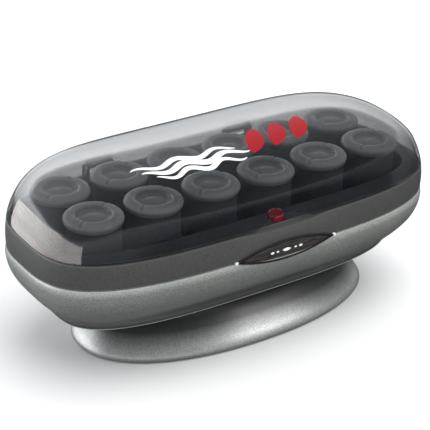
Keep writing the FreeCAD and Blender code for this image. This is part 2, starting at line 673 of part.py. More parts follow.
def build():
    os.makedirs(OUT, exist_ok=True)
    made = {"lid": lid(), "lid_hinge_arms": lid_hinge_arms(), "hinge_pins": hinge_pins(),
            "upper_casing": upper_casing(), "lower_casing": lower_casing(), "tray": tray(),
            "plinth": plinth(), "plinth_cover": plinth_cover(), "rubber_feet": rubber_feet(),
            "badge_bezel": badge_bezel(), "badge_plate": badge_plate(), "heat_plate": heat_plate(),
            "heating_posts": heating_posts(), "heating_element": heating_element(),
            "heat_shield": heat_shield(), "thermostat": thermostat(), "thermal_fuse": thermal_fuse(),
            "plate_spacers": plate_spacers(), "casing_screws": casing_screws(),
            "terminal_block": terminal_block(), "internal_wiring": internal_wiring(),
            "switch_body": switch_body(), "power_button": power_button()}
    made["cord_gland"] = cord_gland(made["plinth"])
    for index, x, y in grid_places():
        made["roller_%02d_core" % index] = roller_core(x, y)
        made["roller_%02d_sleeve" % index] = roller_sleeve(x, y)
        made["roller_%02d_cap" % index] = roller_cap(x, y)
    for name, shape in made.items():
        save(name, shape)
    return made


if __name__ == "__main__":
    build()
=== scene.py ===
import json
import math

import bmesh
import bpy
import numpy as np
from mathutils import Matrix, Vector


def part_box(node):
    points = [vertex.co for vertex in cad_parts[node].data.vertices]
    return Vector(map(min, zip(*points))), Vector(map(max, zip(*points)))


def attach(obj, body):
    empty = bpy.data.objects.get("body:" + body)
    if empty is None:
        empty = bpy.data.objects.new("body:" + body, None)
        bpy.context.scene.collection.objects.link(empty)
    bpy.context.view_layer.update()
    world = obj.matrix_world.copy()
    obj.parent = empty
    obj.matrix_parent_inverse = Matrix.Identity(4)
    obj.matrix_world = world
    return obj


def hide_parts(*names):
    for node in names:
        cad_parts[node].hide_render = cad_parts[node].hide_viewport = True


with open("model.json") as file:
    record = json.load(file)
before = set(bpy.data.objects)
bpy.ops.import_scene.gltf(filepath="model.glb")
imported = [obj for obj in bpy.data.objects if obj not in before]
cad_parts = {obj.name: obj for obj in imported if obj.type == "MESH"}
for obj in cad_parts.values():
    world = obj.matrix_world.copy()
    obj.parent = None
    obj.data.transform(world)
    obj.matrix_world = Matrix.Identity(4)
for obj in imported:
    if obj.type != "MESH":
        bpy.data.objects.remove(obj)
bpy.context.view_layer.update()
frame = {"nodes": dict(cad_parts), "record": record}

# Lengths below are in millimetres, in the CAD model's frame, and MM turns them into metres.
MM = 0.001
TURN = 2 * math.pi
SEGMENTS = 224

# Plan ovals as (half length, half width, squareness)
RIM_OVAL = (159.8, 72.0, 3.5)
SEAM_OVAL = (163.0, 75.2, 3.15)
FOOT_OVAL = (121.0, 63.5, 2.2)


def low(node):
    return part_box(node)[0] / MM


def high(node):
    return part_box(node)[1] / MM


def middle(node):
    return (low(node) + high(node)) / 2


LID_EDGE_Z = low("lid").z
LID_TOP_Z = high("lid").z
RIM_Z = high("tray").z
SEAM_Z = middle("badge_plate").z
FRONT_X = middle("power_button").x

# ---------------------------------------------------------------- shader helpers

RANGE_ENDS = ("From Min", "From Max", "To Min", "To Max")


class Shader:
    """A material being put together: nodes are added by short calls and joined by their sockets."""

    def __init__(self, name, color, roughness, metallic=0.0, specular=0.5):
        self.material = bpy.data.materials.new(name)
        self.material.use_nodes = True
        self.nodes = self.material.node_tree.nodes
        self.links = self.material.node_tree.links
        self.base = self.nodes["Principled BSDF"]
        self.base.inputs["Base Color"].default_value = (*color, 1)
        self.base.inputs["Roughness"].default_value = roughness
        self.base.inputs["Metallic"].default_value = metallic
        self.base.inputs["Specular IOR Level"].default_value = specular
        coords = self.nodes.new("ShaderNodeTexCoord")
        self.place = coords.outputs["Object"]
        self.heights = []

    def constant(self, **values):
        for key, value in values.items():
            self.base.inputs[key.replace("_", " ").title()].default_value = value
        return self

    def add(self, kind, **inputs):
        node = self.nodes.new(kind)
        for key, value in inputs.items():
            socket = node.inputs[key]
            if isinstance(value, bpy.types.NodeSocket):
                self.links.new(value, socket)
            else:
                socket.default_value = value
        return node

    def stretched(self, x, y, z):
        node = self.add("ShaderNodeMapping", Vector=self.place)
        node.inputs["Scale"].default_value = (x, y, z)
        return node.outputs["Vector"]

    def noise(self, scale, detail=3.0, roughness=0.5, place=None):
        node = self.add("ShaderNodeTexNoise", Vector=place or self.place, Scale=scale, Detail=detail)
        node.inputs["Roughness"].default_value = roughness
        return node.outputs["Fac"]

    def flakes(self, scale):
        node = self.add("ShaderNodeTexVoronoi", Vector=self.place, Scale=scale)
        return self.add("ShaderNodeSeparateColor", Color=node.outputs["Color"]).outputs["Red"]

    def spread(self, fac, low_in, high_in, low_out, high_out):
        node = self.add("ShaderNodeMapRange", Value=fac)
        for key, value in zip(RANGE_ENDS, (low_in, high_in, low_out, high_out)):
            node.inputs[key].default_value = value
        return node.outputs["Result"]

    def ramp(self, fac, *stops):
        node = self.add("ShaderNodeValToRGB", Fac=fac)
        band = node.color_ramp
        while len(band.elements) < len(stops):
            band.elements.new(0.5)
        for element, (at, color) in zip(band.elements, stops):
            element.position = at
            element.color = (*color, 1)
        return node.outputs["Color"]

    def mix(self, fac, first, second):
        node = self.nodes.new("ShaderNodeMix")
        node.data_type = "RGBA"
        for socket, value in ((node.inputs[0], fac), (node.inputs[6], first), (node.inputs[7], second)):
            if isinstance(value, bpy.types.NodeSocket):
                self.links.new(value, socket)
            else:
                socket.default_value = value if isinstance(value, float) else (*value, 1)
        return node.outputs[2]

    def multiply(self, first, second):
        node = self.nodes.new("ShaderNodeMix")
        node.data_type = "RGBA"
        node.blend_type = "MULTIPLY"
        node.inputs[0].default_value = 1.0
        self.links.new(first, node.inputs[6])
        self.links.new(second, node.inputs[7])
        return node.outputs[2]

    def math(self, kind, first, second):
        node = self.nodes.new("ShaderNodeMath")
        node.operation = kind
        for socket, value in zip(node.inputs, (first, second)):
            if isinstance(value, bpy.types.NodeSocket):
                self.links.new(value, socket)
            else:
                socket.default_value = value
        return node.outputs[0]

    def edges(self, low_in=0.51, high_in=0.56):
        """1 along convex edges, where the paler colour stands for wear and for a painted edge highlight."""
        geometry = self.nodes.new("ShaderNodeNewGeometry")
        return self.spread(geometry.outputs["Pointiness"], low_in, high_in, 0.0, 1.0)

    def color(self, socket):
        self.links.new(socket, self.base.inputs["Base Color"])
        return self

    def rough(self, socket):
        self.links.new(socket, self.base.inputs["Roughness"])
        return self

    def relief(self, height, distance_mm, strength=1.0):
        self.heights.append((height, distance_mm * MM, strength))
        return self

    def done(self):
        normal = None
        for height, distance, strength in self.heights:
            node = self.add("ShaderNodeBump", Height=height, Distance=distance, Strength=strength)
            if normal:
                self.links.new(normal, node.inputs["Normal"])
            normal = node.outputs["Normal"]
        if normal:
            self.links.new(normal, self.base.inputs["Normal"])
        return self.material


# ---------------------------------------------------------------- materials

# How opaque each face of the lid is, seen square on and edge on
LID_COVER = (0.24, 0.97)


def smoked_plastic():
    """Tinted clear plastic: it hides more of what is behind it where it is seen at a shallow angle."""
    s = Shader("smoked_lid", (0.012, 0.013, 0.016), 0.05, specular=1.0)
    facing = s.nodes.new("ShaderNodeLayerWeight")
    facing.inputs["Blend"].default_value = 0.5
    cover = s.spread(s.math("POWER", facing.outputs["Facing"], 2.0), 0.0, 1.0, LID_COVER[0], LID_COVER[1])
    s.links.new(cover, s.base.inputs["Alpha"])
    haze = s.noise(14.0, 4.0)
    s.color(s.ramp(haze, (0.35, (0.010, 0.011, 0.014)), (0.7, (0.018, 0.019, 0.023))))
    scratches = s.noise(900.0, 2.0, place=s.stretched(0.06, 1.0, 1.0))
    s.rough(s.spread(scratches, 0.4, 0.75, 0.04, 0.13))
    s.relief(s.noise(9.0, 2.0), 0.2, 0.2)
    return s.done()


def lighter(color, factor):
    return tuple(min(1, c * factor) for c in color)


def grained_metallic(name, dark, light, roughness, metallic, coat, painted_shade=()):
    """Plastic with metal flake in it: small bright and dark grains under a thin clear coat.

    painted_shade gives (height in mm, strength) stops of painted shade, which darkens the colour towards the
    neck, where shade falls under the bowl.
    """
    s = Shader(name, light, roughness, metallic, 0.5)
    s.constant(coat_weight=coat, coat_roughness=0.2)
    grain = s.noise(1700.0, 2.0, 0.7)
    cloud = s.noise(22.0, 4.0, 0.55)
    flecked = s.ramp(s.flakes(2600.0), (0.0, dark), (0.6, light), (1.0, lighter(light, 1.25)))
    toned = s.mix(s.spread(cloud, 0.3, 0.7, 0.0, 0.25), flecked, dark)
    # Painted shade: the colour is multiplied by a ramp over the height
    if painted_shade:
        up = s.add("ShaderNodeSeparateXYZ", Vector=s.place).outputs["Z"]
        tallest = painted_shade[-1][0]
        stops = [(z / tallest, (tone,) * 3) for z, tone in painted_shade]
        toned = s.multiply(toned, s.ramp(s.spread(up, 0.0, tallest * MM, 0.0, 1.0), *stops))
    # Paler convex edges: wear and a painted edge highlight
    s.color(s.mix(s.edges(), toned, lighter(light, 1.2)))
    s.rough(s.spread(grain, 0.3, 0.7, roughness - 0.05, roughness + 0.08))
    s.relief(grain, 0.03, 0.35)
    s.relief(s.noise(60.0, 3.0), 0.1, 0.12)
    return s.done()


def moulded_plastic(name, dark, light, roughness, dust=0.0):
    """Fine-grained satin plastic, with paler edges (wear and a painted edge highlight) and a few specks of
    dust.
    """
    s = Shader(name, light, roughness, 0.0, 0.45)
    cloud = s.noise(45.0, 5.0, 0.6)
    tone = s.ramp(cloud, (0.3, dark), (0.7, light))
    specks = s.spread(s.noise(700.0, 2.0, 0.8), 0.66, 0.76, 0.0, dust)
    tone = s.mix(specks, tone, (0.45, 0.44, 0.42))
    # Paler convex edges: wear and a painted edge highlight
    s.color(s.mix(s.edges(), tone, lighter(light, 1.6)))
    grain = s.noise(1100.0, 3.0, 0.65)
    s.rough(s.spread(grain, 0.3, 0.7, roughness - 0.08, roughness + 0.1))
    s.relief(grain, 0.06, 0.6)
    return s.done()


def velvet():
    """Short flock: a soft nap that catches light at its edges, pressed down in patches."""
    s = Shader("roller_velvet", (0.05, 0.054, 0.06), 0.95, 0.0, 0.06)
    s.constant(sheen_weight=0.05, sheen_roughness=0.5)
    s.base.inputs["Sheen Tint"].default_value = (0.5, 0.58, 0.66, 1)
    nap = s.noise(1100.0, 3.0, 0.7)
    patches = s.noise(70.0, 3.0)
    s.color(s.mix(s.spread(patches, 0.35, 0.65, 0.2, 0.9),
                  s.ramp(nap, (0.3, (0.04, 0.044, 0.05)), (0.75, (0.055, 0.06, 0.068))),
                  s.ramp(nap, (0.3, (0.05, 0.054, 0.06)), (0.75, (0.07, 0.075, 0.083)))))
    s.relief(nap, 0.02, 0.06)
    s.relief(patches, 0.3, 0.15)
    return s.done()


def brushed_metal(name, dark, light, roughness, stretch, metallic=1.0):
    """Metal with fine lines across the stretched axes and a cloud of stains."""
    s = Shader(name, light, roughness, metallic)
    lines = s.noise(1600.0, 3.0, 0.6, place=s.stretched(*stretch))
    stain = s.noise(60.0, 4.0)
    s.color(s.mix(s.spread(stain, 0.35, 0.7, 0.0, 0.6), s.ramp(lines, (0.3, dark), (0.7, light)), dark))
    s.rough(s.spread(lines, 0.3, 0.7, roughness - 0.08, roughness + 0.14))
    s.relief(lines, 0.03, 0.5)
    return s.done()


def lamp_lens():
    """Red lens with a faceted diffuser showing through it and a faint glow."""
    s = Shader("lamp_red", (0.2, 0.004, 0.012), 0.12, 0.0, 0.6)
    s.constant(coat_weight=1.0, coat_roughness=0.04)
    facets = s.flakes(620.0)
    s.color(s.ramp(facets, (0.0, (0.09, 0.002, 0.006)), (1.0, (0.26, 0.005, 0.015))))
    s.base.inputs["Emission Color"].default_value = (0.6, 0.012, 0.04, 1)
    s.base.inputs["Emission Strength"].default_value = 0.06
    s.rough(s.spread(s.noise(300.0), 0.3, 0.7, 0.08, 0.2))
    s.relief(s.noise(420.0, 1.0), 0.08, 0.25)
    return s.done()


def rubber():
    """Matt rubber with dust in its grain."""
    s = Shader("foot_rubber", (0.02, 0.02, 0.02), 0.75, 0.0, 0.3)
    dust = s.noise(260.0, 4.0, 0.7)
    s.color(s.ramp(dust, (0.4, (0.014, 0.014, 0.015)), (0.75, (0.05, 0.048, 0.046))))
    s.relief(s.noise(1300.0, 2.0), 0.08, 0.7)
    return s.done()


def printed(name, ink):
    """A layer of ink, a little thinner in places."""
    s = Shader(name, ink, 0.45, 0.0, 0.15)
    thin = s.noise(500.0, 4.0, 0.7)
    s.color(s.ramp(thin, (0.2, tuple(c * 0.82 for c in ink)), (0.6, ink)))
    s.rough(s.spread(thin, 0.3, 0.7, 0.4, 0.6))
    s.relief(thin, 0.02, 0.4)
    return s.done()


def braid():
    """Woven sleeving of red silicone and glass."""
    s = Shader("wire_sleeving", (0.5, 0.08, 0.05), 0.6)
    weave = s.noise(1500.0, 2.0)
    s.color(s.ramp(weave, (0.3, (0.36, 0.05, 0.035)), (0.7, (0.6, 0.12, 0.08))))
    s.relief(weave, 0.1, 0.8)
    return s.done()


# Painted shade and highlight as (height, strength): the colour is darkened by height, deepest where shade
# falls under the bowl and on the plinth's top, and lightest just under the seam as a painted highlight
CASE_PAINTED_SHADE = ((34.0, 0.1), (39.0, 0.3), (46.0, 0.26), (55.0, 0.4), (65.0, 0.55), (73.0, 0.72), (76.0, 1.0),
              (80.0, 1.0))
PLINTH_PAINTED_SHADE = ((0.0, 0.7), (3.0, 1.0), (9.0, 0.9), (15.0, 0.42), (20.0, 0.09), (26.0, 0.02), (36.0, 0.01))

# The stretches of a metal's fine lines
ALONG_X = (0.05, 1, 1)
ROUND_RING = (1, 0.3, 1)
UPRIGHT = (0.3, 0.3, 1)

MATERIALS = {
    "smoked_lid": smoked_plastic(),
    "case_silver": grained_metallic(
        "case_silver", (0.26, 0.268, 0.256), (0.46, 0.472, 0.454), 0.3, 0.35, 0.3, CASE_PAINTED_SHADE),
    "plinth_silver": grained_metallic(
        "plinth_silver", (0.27, 0.276, 0.27), (0.43, 0.438, 0.43), 0.33, 0.55, 0.3, PLINTH_PAINTED_SHADE),
    "rim_grey": grained_metallic("rim_grey", (0.056, 0.057, 0.054), (0.088, 0.089, 0.085), 0.42, 0.2, 0.05),
    "cap_grey": moulded_plastic("cap_grey", (0.15, 0.162, 0.165), (0.2, 0.216, 0.22), 0.24),
    "core_plastic": moulded_plastic("core_plastic", (0.03, 0.031, 0.034), (0.055, 0.056, 0.06), 0.5),
    "dark_plastic": moulded_plastic("dark_plastic", (0.018, 0.018, 0.02), (0.035, 0.036, 0.04), 0.45, 0.1),
    "well_black": moulded_plastic("well_black", (0.009, 0.011, 0.014), (0.018, 0.021, 0.026), 0.38, 0.02),
    "roller_velvet": velvet(),
    "lamp_red": lamp_lens(),
    "foot_rubber": rubber(),
    "badge_black": moulded_plastic("badge_black", (0.008, 0.008, 0.009), (0.014, 0.014, 0.015), 0.2),
    "badge_silver": brushed_metal(
        "badge_silver", (0.03, 0.028, 0.026), (0.11, 0.103, 0.098), 0.28, ALONG_X, 0.4),
    "pin_steel": brushed_metal("pin_steel", (0.3, 0.3, 0.31), (0.62, 0.62, 0.63), 0.3, ALONG_X),
    "shield_steel": brushed_metal("shield_steel", (0.35, 0.35, 0.35), (0.66, 0.66, 0.66), 0.3, ALONG_X),
    "element_steel": brushed_metal("element_steel", (0.14, 0.12, 0.11), (0.4, 0.37, 0.35), 0.45, ROUND_RING),
    "heater_aluminium": brushed_metal(
        "heater_aluminium", (0.45, 0.45, 0.46), (0.72, 0.72, 0.73), 0.32, UPRIGHT),
    "ceramic_white": moulded_plastic("ceramic_white", (0.6, 0.59, 0.55), (0.78, 0.77, 0.73), 0.5),
    "wire_sleeving": braid(),
}
WHITE_INK = printed("white_ink", (0.86, 0.86, 0.86))
RED_INK = printed("red_ink", (0.3, 0.006, 0.011))

# ---------------------------------------------------------------- shape helpers


def piece(name, verts_mm, faces, body, slot, material=None, replaces=(), smooth=True):
    """A named mesh piece from millimetre points that rides on a body."""
    mesh = bpy.data.meshes.new(name)
    mesh.from_pydata([tuple(c * MM for c in v) for v in verts_mm], [], faces)
    tidy = bmesh.new()
    tidy.from_mesh(mesh)
    bmesh.ops.remove_doubles(tidy, verts=tidy.verts, dist=1e-6)
    bmesh.ops.recalc_face_normals(tidy, faces=tidy.faces)
    tidy.to_mesh(mesh)
    tidy.free()
    mesh.polygons.foreach_set("use_smooth", [smooth] * len(mesh.polygons))
    made = bpy.data.objects.new(name, mesh)
    bpy.context.scene.collection.objects.link(made)
    made.data.materials.append(material or MATERIALS[slot])
    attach(made, body)
    if replaces:
        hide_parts(*replaces)
    return made


def sharp_by_angle(made, degrees=38.0):
    """Smooth shading apart from true corners."""
    tidy = bmesh.new()
    tidy.from_mesh(made.data)
    limit = math.radians(degrees)
    for edge in tidy.edges:
        edge.smooth = len(edge.link_faces) == 2 and edge.calc_face_angle(0) < limit
    tidy.to_mesh(made.data)
    tidy.free()
    return made


def bevel(made, width_mm, segments=3, degrees=35.0):
    """Small rounds on the edges that are sharper than an angle."""
    edge = made.modifiers.new("edge", "BEVEL")
    edge.width = width_mm * MM
    edge.segments = segments
    edge.limit_method = "ANGLE"
    edge.angle_limit = math.radians(degrees)
    edge.harden_normals = False


def curve_through(points, steps):
    """A smooth open curve through the points: each gap is a Catmull-Rom span of the given steps."""
    pts = [np.array(p, float) for p in points]
    pts = [2 * pts[0] - pts[1]] + pts + [2 * pts[-1] - pts[-2]]
    out = []
    for p0, p1, p2, p3 in zip(pts, pts[1:], pts[2:], pts[3:]):
        for k in range(steps):
            t = k / steps
            out.append(0.5 * (2 * p1 + (p2 - p0) * t + (2 * p0 - 5 * p1 + 4 * p2 - p3) * t ** 2
                              + (3 * p1 - p0 - 3 * p2 + p3) * t ** 3))
    return out + [pts[-2]]


def oval_reach(n, angle):
    """Distance from the middle to a unit oval of squareness n, along a plan angle."""
    return (abs(math.cos(angle)) ** n + abs(math.sin(angle)) ** n) ** (-1 / n)


def even_angles(oval, count=SEGMENTS):
    """Plan angles whose points are evenly spaced along an oval."""
    a, b, n = oval
    fine = np.linspace(0, TURN, 4001)
    xy = np.array([(a * oval_reach(n, t) * math.cos(t), b * oval_reach(n, t) * math.sin(t)) for t in fine])
    run = np.concatenate([[0], np.cumsum(np.linalg.norm(np.diff(xy, axis=0), axis=1))])
    return list(np.interp(np.arange(count) * run[-1] / count, run, fine))


def oval_ring(a, b, n, z, angles):
    """Points round an oval of half lengths a and b at a height."""
    ring = []
    for t in angles:
        r = oval_reach(n, t)
        ring.append((a * r * math.cos(t), b * r * math.sin(t), z))
    return ring


def ring_faces(ring_count, size, closed):
    """Quads between rings of equal size; closed joins the last ring to the first."""
    faces = []
    for i in range(ring_count if closed else ring_count - 1):
        here, there = i * size, (i + 1) % ring_count * size
        for k in range(size):
            m = (k + 1) % size
            faces.append((here + k, here + m, there + m, there + k))
    return faces


def oval_shell(name, oval, section, slot, replaces):
    """A closed shell whose section is (height, inset) points swept round an oval."""
    a, b, n = oval
    angles = even_angles(oval)
    verts = []
    for z, inset in section:
        verts += oval_ring(a - inset, b - inset, n, z, angles)
    faces = ring_faces(len(section), len(angles), True)
    sharp_by_angle(piece(name, verts, faces, "base", slot, replaces=replaces))


def turned(name, outline, place, body, slot, replaces=(), segments=96, shift=None):
    """A solid turned about Z from a (radius, height) outline, which ends on the axis or closes on itself."""
    x, y, z = place
    verts = []
    for r, h in outline:
        for k in range(segments):
            t = TURN * k / segments
            lift = shift(r, h, t) if shift else 0.0
            verts.append((x + r * math.cos(t), y + r * math.sin(t), z + h + lift))
    faces = ring_faces(len(outline), segments, outline[0][0] > 1e-6)
    sharp_by_angle(piece(name, verts, faces, body, slot, replaces=replaces))


# ---------------------------------------------------------------- lid

LID_WALL = 2.2
# The skirt as (height over the edge, inset along X, inset along Y, squareness)
SKIRT = [(0.0, 0.0, 0.0, 3.5), (9.0, 1.6, 0.6, 3.3), (18.0, 5.0, 1.6, 3.1), (27.0, 10.0, 3.4, 2.9),
         (45.0, 24.0, 9.0, 2.7)]
SKIRT_FITS = [np.polyfit([s[0] for s in SKIRT], [s[k] for s in SKIRT], 4) for k in (1, 2, 3)]
ROOF_HALF_X = 144.0
ROOF_HALF_Y = 65.0
ROOF_END_DROP = 13.7
ROOF_SIDE_DROP = 15.7
LID_SEGMENTS = 260
CLOSEST_ANGLES = 2e-4
NOTCH_HALF = 12.8
NOTCH_TOP_Z = 105.4
NOTCH_SIDE = 0.12
THUMB_HALF = 24.0
THUMB_RISE = 6.6
THUMB_STEPS = 12
HINGE_XS = (-62.0, 62.0)
CREASE_REACH = 7.0
CREASE_ROOF_REACH = 1.5 * CREASE_REACH
SKIRT_RINGS = 16
CREASE_RINGS = 9
ROOF_RINGS = 30


def skirt_point(angle, z):
    """A point of the lid's side at a plan angle and a height."""
    inset_x, inset_y, n = (np.polyval(f, z - LID_EDGE_Z) for f in SKIRT_FITS)
    r = oval_reach(n, angle)
    half_x, half_y = RIM_OVAL[0] - inset_x, RIM_OVAL[1] - inset_y
    return np.array([half_x * r * math.cos(angle), half_y * r * math.sin(angle), z])


def roof_z(x, y):
    """The roof's height: nearly flat along X until the ends, and a shallow arch across."""
    return LID_TOP_Z - ROOF_END_DROP * (x / ROOF_HALF_X) ** 6 - ROOF_SIDE_DROP * (y / ROOF_HALF_Y) ** 2


def crease_point(angle):
    """Where the skirt meets the roof along a plan angle."""
    below, above = LID_EDGE_Z, LID_TOP_Z
    for _ in range(40):
        z = (below + above) / 2
        p = skirt_point(angle, z)
        if roof_z(p[0], p[1]) > z:
            below = z
        else:
            above = z
    return skirt_point(angle, below)


def lid_edge_z(x, y):
    """The lid's lower edge: flat, with the thumb arch in front and a notch at each hinge."""
    off = abs(x - FRONT_X)
    if y < 0 and off < THUMB_HALF:
        bow = (THUMB_HALF ** 2 + THUMB_RISE ** 2) / (2 * THUMB_RISE)
        return LID_EDGE_Z + math.sqrt(bow ** 2 - off ** 2) - bow + THUMB_RISE
    if y > 0 and any(abs(x - hx) < NOTCH_HALF for hx in HINGE_XS):
        return NOTCH_TOP_Z
    return LID_EDGE_Z


def edge_angle(x, side):
    """Plan angle of the point of the rim at x, in front or behind."""
    a, b, n = RIM_OVAL
    y = side * b * (1 - (abs(x) / a) ** n) ** (1 / n)
    return math.atan2(y / b, x / a) % TURN


def make_lid():
    """The dome: columns of points that climb the skirt, round the crease and cross the roof to its middle."""
    angles = even_angles(RIM_OVAL, LID_SEGMENTS)
    for hx in HINGE_XS:
        for off in (-NOTCH_HALF, NOTCH_HALF):
            angles += [edge_angle(hx + off - NOTCH_SIDE, 1), edge_angle(hx + off + NOTCH_SIDE, 1)]
    for k in range(-THUMB_STEPS, THUMB_STEPS + 1):
        angles.append(edge_angle(FRONT_X + THUMB_HALF * k / THUMB_STEPS, -1))
    angles = sorted(angles)
    keep = [angles[0]]
    for t in angles[1:]:
        if t - keep[-1] > CLOSEST_ANGLES:
            keep.append(t)
    columns = []
    count = SKIRT_RINGS + CREASE_RINGS + ROOF_RINGS
    for t in keep:
        foot = skirt_point(t, LID_EDGE_Z)
        z0 = lid_edge_z(foot[0], foot[1])
        crease = crease_point(t)
        flat = np.array([crease[0], crease[1], 0])
        reach = np.linalg.norm(flat)
        column = [skirt_point(t, z0 + (crease[2] - CREASE_REACH - z0) * k / (SKIRT_RINGS - 1))
                  for k in range(SKIRT_RINGS)]
        start = column[-1]
        inner = flat * (1 - CREASE_ROOF_REACH / reach)
        end = np.array([inner[0], inner[1], roof_z(inner[0], inner[1])])
        for k in range(1, CREASE_RINGS + 1):
            u = k / (CREASE_RINGS + 1)
            column.append((1 - u) ** 2 * start + 2 * u * (1 - u) * crease + u ** 2 * end)
        for k in range(ROOF_RINGS):
            share = 1 - k / ROOF_RINGS
            x, y = inner[0] * share, inner[1] * share
            column.append(np.array([x, y, roof_z(x, y)]))
        columns.append(column)
    size = len(keep)
    verts = [columns[k][i] for i in range(count) for k in range(size)]
    faces = ring_faces(count, size, False)
    top = len(verts)
    verts.append((0, 0, LID_TOP_Z))
    last = (count - 1) * size
    faces += [(last + k, last + (k + 1) % size, top) for k in range(size)]
    lid = piece("lid_dome", verts, faces, "lid", "smoked_lid", replaces=("lid",))
    wall = lid.modifiers.new("wall", "SOLIDIFY")
    wall.thickness = LID_WALL * MM
    wall.offset = -1
    wall.use_even_offset = True
    bevel(lid, 0.35, 2, 50.0)


PRINT_LIFT = 0.05
PRINT_THICK = 0.05


def printed_strip(name, centre, halves, slot, ink, across=5):
    """A thin printed shape on the roof: a centre line in plan with a half width at each point."""
    rows = []
    line = [np.array(c, float) for c in centre]
    for k, (at, half) in enumerate(zip(line, halves)):
        run = line[min(k + 1, len(line) - 1)] - line[max(k - 1, 0)]
        side = np.array([-run[1], run[0]]) / np.linalg.norm(run)
        rows.append([at + side * half * (2 * j / (across - 1) - 1) for j in range(across)])
    verts = []
    for lift in (PRINT_LIFT + PRINT_THICK, PRINT_LIFT):
        verts += [(p[0], p[1], roof_z(p[0], p[1]) + lift) for row in rows for p in row]
    under = len(rows) * across
    faces = []
    for i in range(len(rows) - 1):
        for j in range(across - 1):
            quad = (i * across + j, i * across + j + 1, (i + 1) * across + j + 1, (i + 1) * across + j)
            faces += [quad, tuple(under + v for v in reversed(quad))]
    rim = [j for j in range(across)] + [i * across + across - 1 for i in range(1, len(rows))]
    rim += [(len(rows) - 1) * across + j for j in range(across - 2, -1, -1)]
    rim += [i * across for i in range(len(rows) - 2, 0, -1)]
    faces += [(u, v, under + v, under + u) for u, v in zip(rim, rim[1:] + rim[:1])]
    piece(name, verts, faces, "lid", slot, ink, smooth=False)


# Strands as (left end, right end, y, half width), with a wave along them
STRANDS = ((-89.0, -6.0, -22.5, 2.2), (-83.0, 2.0, -29.0, 2.7), (-75.0, -4.0, -35.5, 2.0))
WAVE_HEIGHT = 2.7
WAVES = 2.6
WAVE_SHIFT = 0.1
# Petals by their middles, with one lean, bow, length and half width
PETALS = ((11.0, -21.5), (31.0, -20.0), (51.0, -18.5))
PETAL_LEAN = 16.0
PETAL_BOW = 2.0
PETAL_LENGTH = 26.0
PETAL_HALF = 6.6


def make_lid_print():
    """The lid's decoration: three waving strands of hair and three slanting petals."""
    steps = np.linspace(0.0, 1.0, 90)
    for number, (x0, x1, y0, wide) in enumerate(STRANDS, 1):
        centre = [(x0 + (x1 - x0) * u, y0 + WAVE_HEIGHT * math.sin(TURN * (WAVES * u + WAVE_SHIFT * number)))
                  for u in steps]
        halves = [0.12 + wide * math.sin(math.pi * u) ** 0.6 for u in steps]
        printed_strip("lid_strand_%d" % number, centre, halves, "ceramic_white", WHITE_INK)
    for number, (x, y) in enumerate(PETALS, 1):
        centre = [(x + PETAL_LEAN * (u - 0.5) + PETAL_BOW * math.sin(math.pi * u),
                   y + PETAL_LENGTH * (u - 0.5)) for u in steps]
        halves = [0.15 + PETAL_HALF * math.sin(math.pi * u) ** 0.62 for u in steps]
        printed_strip("lid_petal_%d" % number, centre, halves, "lamp_red", RED_INK)


make_lid()
make_lid_print()

# ---------------------------------------------------------------- case and plinth

WALL = 2.5
# The bowl and the plinth as (height, inset from the oval)
BOWL = [(78.8, 0.9), (76.5, 0.2), (73.0, 0.0), (66.0, 1.2), (59.0, 4.1), (52.0, 9.2), (46.0, 15.0),
        (41.5, 19.8), (38.0, 22.3), (35.0, 23.0)]
PLINTH = [(1.2, 0.9), (3.4, 0.0), (7.0, 1.4), (14.0, 6.2), (22.0, 11.6), (29.0, 15.6), (35.0, 17.0)]
SEAM_INSET = 0.8
BAND_MIDDLE = (88.0, 0.4)
SCOOP_HALF = 26.0
SCOOP_DIP = 1.2
SCOOP_REACH = 3.6
SCOOP_SLOPE = math.tan(math.radians(25.0))
SCOOP_FADE = 7.0
LEDGE_TOP = 1.6
LEDGE_UNDER = 4.0
LEDGE_REACH = 12.0
EAR_R = 3.0
EAR_FOOT_Z = 90.0
EAR_THICK = 3.6
HALF_ARM = 8.5
NECK_Z = 35.0
NECK_FLOOR = 3.0
NECK_INSET = 30.0
BOWL_INNER_TOP = 78.0
PLINTH_CEILING_Z = 32.0
PLINTH_NECK_INSET = 40.0


def scoop_drop(x, inset):
    """How far the rim's front edge dips at x, at a distance in from the edge."""
    bow = (SCOOP_HALF ** 2 + SCOOP_DIP ** 2) / (2 * SCOOP_DIP)
    off = min(abs(x - FRONT_X), 60.0)
    floor = SCOOP_DIP - (bow - math.sqrt(bow ** 2 - off ** 2)) + max(0.0, SCOOP_REACH - inset) * SCOOP_SLOPE
    return max(0.0, floor)


